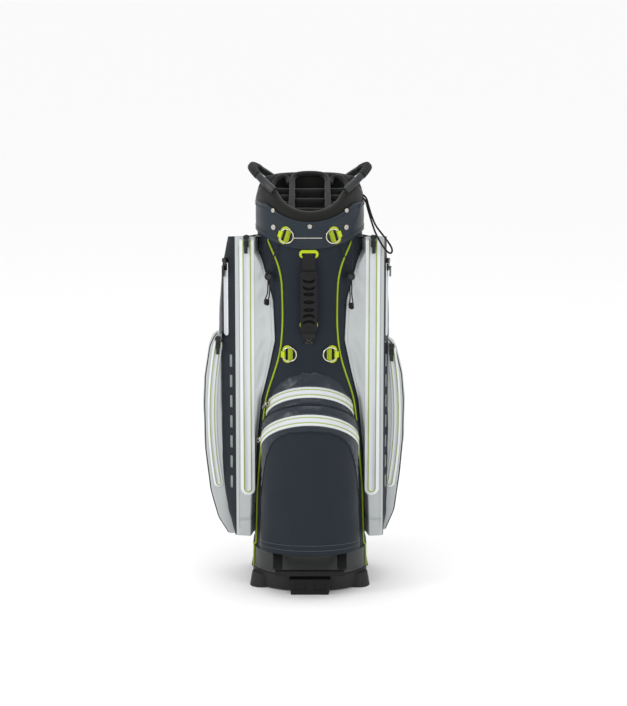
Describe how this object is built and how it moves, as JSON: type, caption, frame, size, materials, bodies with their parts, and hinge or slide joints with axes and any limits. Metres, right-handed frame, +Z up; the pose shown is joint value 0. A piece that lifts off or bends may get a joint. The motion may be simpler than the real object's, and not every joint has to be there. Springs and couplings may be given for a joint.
{
  "type": "golf cart bag",
  "caption": "Upright golf cart bag: padded divided mouth with two side handles, zipped side and front pockets, carry and lift handles, moulded base.",
  "frame": {"origin": "centre of the underside of the base", "axes": "+Z up along the tube, -Y to the front with the carry handle and ball pocket, +X to the right seen from the front"},
  "size_m": [0.431, 0.3389, 0.9046],
  "materials": {
    "black_rubber": "matt moulded rubber",
    "black_plastic": "fine-textured moulded plastic",
    "black_gloss": "gloss black lacquer",
    "grey_band": "matt leatherette",
    "navy_fabric": "coated waterproof fabric",
    "spring_steel": "drawn rod",
    "black_mesh": "padded air mesh",
    "chrome": "bright nickel",
    "lime_plastic": "satin moulded plastic",
    "black_webbing": "woven nylon",
    "silver_mesh": "ripstop with mesh face",
    "pale_grey_fabric": "coated fabric",
    "white_tape": "coated zip tape"
  },
  "bodies": {
    "bag": {"base_band": "grey_band", "base_floor": "black_plastic", "base_front_foot": "black_rubber", "base_moulding": "black_rubber", "body_shell": "navy_fabric", "collar": "navy_fabric", "collar_rivets": "chrome", "collar_screws": "chrome", "cord_knots": "black_webbing", "divider_walls": "black_mesh", "frame_stays": "spring_steel", "front_handle_grip": "black_rubber", "front_handle_loops": "lime_plastic", "front_handle_webbing": "black_webbing", "front_lower_pocket": "navy_fabric", "front_upper_pocket": "navy_fabric", "front_zip_tapes": "white_tape", "handle_sleeves": "black_rubber", "left_outer_pocket": "pale_grey_fabric", "left_pocket": "silver_mesh", "right_outer_pocket": "pale_grey_fabric", "right_pocket": "silver_mesh", "rim_pad": "black_mesh", "ring_tabs": "lime_plastic", "ring_webbing": "black_webbing", "shock_cord_left": "black_webbing", "shock_cord_right": "black_webbing", "shoulder_strap": "black_mesh", "side_handles": "black_plastic", "side_zip_tapes": "white_tape", "top_ring": "black_plastic", "towel_keeper": "black_webbing", "towel_loop": "black_webbing", "zip_garages": "black_plastic"},
    "upper_left_ring": {"upper_left_ring": "chrome"},
    "upper_right_ring": {"upper_right_ring": "chrome"},
    "lower_left_ring": {"lower_left_ring": "chrome"},
    "lower_right_ring": {"lower_right_ring": "chrome"},
    "left_face_slider": {"left_face_slider": "black_gloss"},
    "left_face_pull": {"left_face_pull": "black_gloss"},
    "left_panel_slider": {"left_panel_slider": "black_gloss"},
    "left_panel_pull": {"left_panel_pull": "black_gloss"},
    "left_outer_slider": {"left_outer_slider": "black_gloss"},
    "left_outer_pull": {"left_outer_pull": "black_gloss"},
    "right_face_slider": {"right_face_slider": "black_gloss"},
    "right_face_pull": {"right_face_pull": "black_gloss"},
    "right_panel_slider": {"right_panel_slider": "black_gloss"},
    "right_panel_pull": {"right_panel_pull": "black_gloss"},
    "right_outer_slider": {"right_outer_slider": "black_gloss"},
    "right_outer_pull": {"right_outer_pull": "black_gloss"},
    "front_upper_slider": {"front_upper_slider": "chrome"},
    "front_upper_pull": {"front_upper_pull": "chrome"},
    "front_lower_slider": {"front_lower_slider": "chrome"},
    "front_lower_pull": {"front_lower_pull": "chrome"},
    "lift_handle": {"lift_handle_webbing": "black_webbing", "lift_handle_grip": "black_rubber"},
    "cord_lock_left": {"cord_lock_left": "black_plastic"},
    "cord_lock_button_left": {"cord_lock_button_left": "black_plastic"},
    "cord_lock_right": {"cord_lock_right": "black_plastic"},
    "cord_lock_button_right": {"cord_lock_button_right": "black_plastic"}
  },
  "joints": [
    {"name": "upper_left_ring_swing", "type": "hinge", "parent": "bag", "child": "upper_left_ring", "pos_m": [-0.06112, -0.11913, 0.76909], "axis": [0.2794, -0.0862, 0.9563], "range_deg": [-120, 0]},
    {"name": "upper_right_ring_swing", "type": "hinge", "parent": "bag", "child": "upper_right_ring", "pos_m": [0.06112, -0.11913, 0.76909], "axis": [-0.2794, -0.0862, 0.9563], "range_deg": [0, 120]},
    {"name": "lower_left_ring_swing", "type": "hinge", "parent": "bag", "child": "lower_left_ring", "pos_m": [-0.05615, -0.11865, 0.515], "axis": [0, 0, 1], "range_deg": [-120, 0]},
    {"name": "lower_right_ring_swing", "type": "hinge", "parent": "bag", "child": "lower_right_ring", "pos_m": [0.05615, -0.11865, 0.515], "axis": [0, 0, 1], "range_deg": [0, 120]},
    {"name": "left_face_zip", "type": "slide", "parent": "bag", "child": "left_face_slider", "axis": [0, 0, -1], "range_m": [0, 0.515]},
    {"name": "left_face_pull_flip", "type": "hinge", "parent": "left_face_slider", "child": "left_face_pull", "pos_m": [-0.13357, -0.08684, 0.743], "axis": [0.9839, -0.1789, 0], "range_deg": [-130, 0]},
    {"name": "left_panel_zip", "type": "slide", "parent": "bag", "child": "left_panel_slider", "axis": [0, 0, -1], "range_m": [0, 0.135]},
    {"name": "left_panel_pull_flip", "type": "hinge", "parent": "left_panel_slider", "child": "left_panel_pull", "pos_m": [-0.18232, -0.05849, 0.69], "axis": [0.6965, -0.7176, 0], "range_deg": [-130, 0]},
    {"name": "left_outer_zip", "type": "hinge", "parent": "bag", "child": "left_outer_slider", "pos_m": [0.671, -0.038, 0.365], "axis": [0, -1, 0], "range_deg": [0, 19.96]},
    {"name": "left_outer_pull_flip", "type": "hinge", "parent": "left_outer_slider", "child": "left_outer_pull", "pos_m": [-0.19524, -0.0468, 0.52], "axis": [1, 0, 0], "range_deg": [-130, 0]},
    {"name": "right_face_zip", "type": "slide", "parent": "bag", "child": "right_face_slider", "axis": [0, 0, -1], "range_m": [0, 0.515]},
    {"name": "right_face_pull_flip", "type": "hinge", "parent": "right_face_slider", "child": "right_face_pull", "pos_m": [0.13357, -0.08684, 0.743], "axis": [0.9839, 0.1789, 0], "range_deg": [-130, 0]},
    {"name": "right_panel_zip", "type": "slide", "parent": "bag", "child": "right_panel_slider", "axis": [0, 0, -1], "range_m": [0, 0.135]},
    {"name": "right_panel_pull_flip", "type": "hinge", "parent": "right_panel_slider", "child": "right_panel_pull", "pos_m": [0.16937, -0.05816, 0.69], "axis": [0.3078, 0.9514, 0], "range_deg": [-130, 0]},
    {"name": "right_outer_zip", "type": "hinge", "parent": "bag", "child": "right_outer_slider", "pos_m": [-0.695, -0.038, 0.365], "axis": [0, 1, 0], "range_deg": [0, 17]},
    {"name": "right_outer_pull_flip", "type": "hinge", "parent": "right_outer_slider", "child": "right_outer_pull", "pos_m": [0.17379, -0.0468, 0.505], "axis": [1, 0, 0], "range_deg": [-130, 0]},
    {"name": "front_upper_zip", "type": "hinge", "parent": "bag", "child": "front_upper_slider", "pos_m": [0, -0.0754, 0.3799], "axis": [0, 0.6428, 0.766], "range_deg": [0, 134]},
    {"name": "front_upper_pull_flip", "type": "hinge", "parent": "front_upper_slider", "child": "front_upper_pull", "pos_m": [-0.09279, -0.10557, 0.40522], "axis": [0, -0.6428, -0.766], "range_deg": [-120, 0]},
    {"name": "front_lower_zip", "type": "hinge", "parent": "bag", "child": "front_lower_slider", "pos_m": [0, -0.1099, 0.3234], "axis": [0, 0.6428, 0.766], "range_deg": [0, 170]},
    {"name": "front_lower_pull_flip", "type": "hinge", "parent": "front_lower_slider", "child": "front_lower_pull", "pos_m": [-0.11053, -0.11582, 0.32837], "axis": [0, -0.6428, -0.766], "range_deg": [-120, 0]},
    {"name": "lift_handle_swing", "type": "hinge", "parent": "bag", "child": "lift_handle", "pos_m": [0, -0.129, 0.088], "axis": [-1, 0, 0], "range_deg": [0, 35]},
    {"name": "cord_lock_left_slide", "type": "slide", "parent": "bag", "child": "cord_lock_left", "axis": [0, 0, -1], "range_m": [0, 0.02]},
    {"name": "cord_lock_button_left_press", "type": "slide", "parent": "cord_lock_left", "child": "cord_lock_button_left", "axis": [0, 1, 0], "range_m": [0, 0.003], "stiffness_N_per_m": 600, "springref_m": -0.003},
    {"name": "cord_lock_right_slide", "type": "slide", "parent": "bag", "child": "cord_lock_right", "axis": [0, 0, -1], "range_m": [0, 0.02]},
    {"name": "cord_lock_button_right_press", "type": "slide", "parent": "cord_lock_right", "child": "cord_lock_button_right", "axis": [0, 1, 0], "range_m": [0, 0.003], "stiffness_N_per_m": 600, "springref_m": -0.003}
  ]
}
